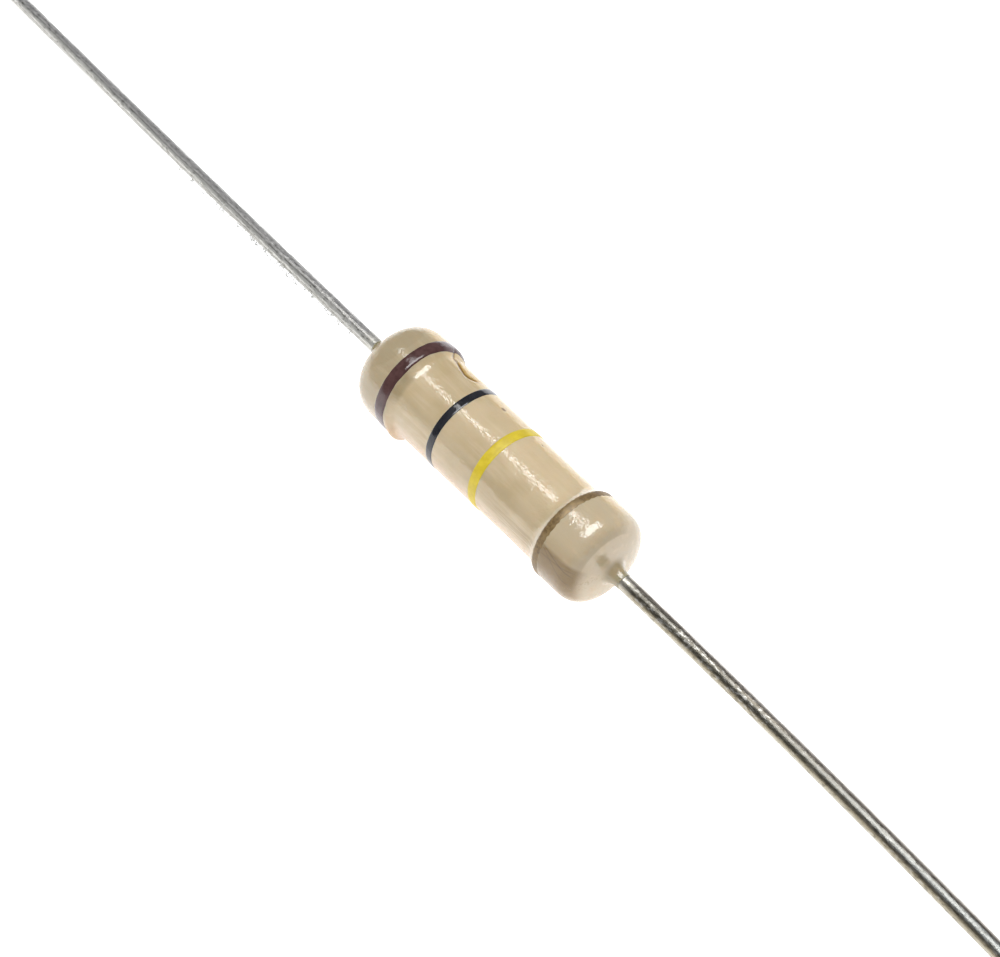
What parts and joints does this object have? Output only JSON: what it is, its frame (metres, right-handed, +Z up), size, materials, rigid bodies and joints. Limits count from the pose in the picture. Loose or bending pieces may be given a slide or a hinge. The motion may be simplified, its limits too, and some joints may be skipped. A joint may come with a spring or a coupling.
{
  "type": "axial resistor",
  "caption": "Axial carbon film resistor: lacquered dog-bone body with painted colour bands, capped ceramic core and long tinned wire leads.",
  "frame": {"origin": "on the plane the resistor rests on, under the middle of the body", "axes": "+X along the body's axis towards the gold tolerance band, +Z up from the resting plane"},
  "size_m": [0.0973, 0.0054, 0.0054],
  "materials": {
    "ceramic": "matt fired ceramic",
    "carbon": "matt carbon film",
    "cap_steel": "tin-plated pressed steel",
    "tinned_wire": "dull hot-tinned copper wire with drawn streaks",
    "lacquer": "glossy beige dipped lacquer",
    "brown_paint": "glossy dark brown paint",
    "black_paint": "glossy black paint",
    "yellow_paint": "glossy yellow paint",
    "gold_paint": "worn bronze-gold metallic paint"
  },
  "bodies": {
    "root": {"ceramic_core": "ceramic", "carbon_film": "carbon", "left_end_cap": "cap_steel", "right_end_cap": "cap_steel", "left_lead": "tinned_wire", "right_lead": "tinned_wire", "lacquer_coat": "lacquer", "brown_band": "brown_paint", "black_band": "black_paint", "yellow_band": "yellow_paint", "gold_band": "gold_paint"}
  },
  "joints": []
}
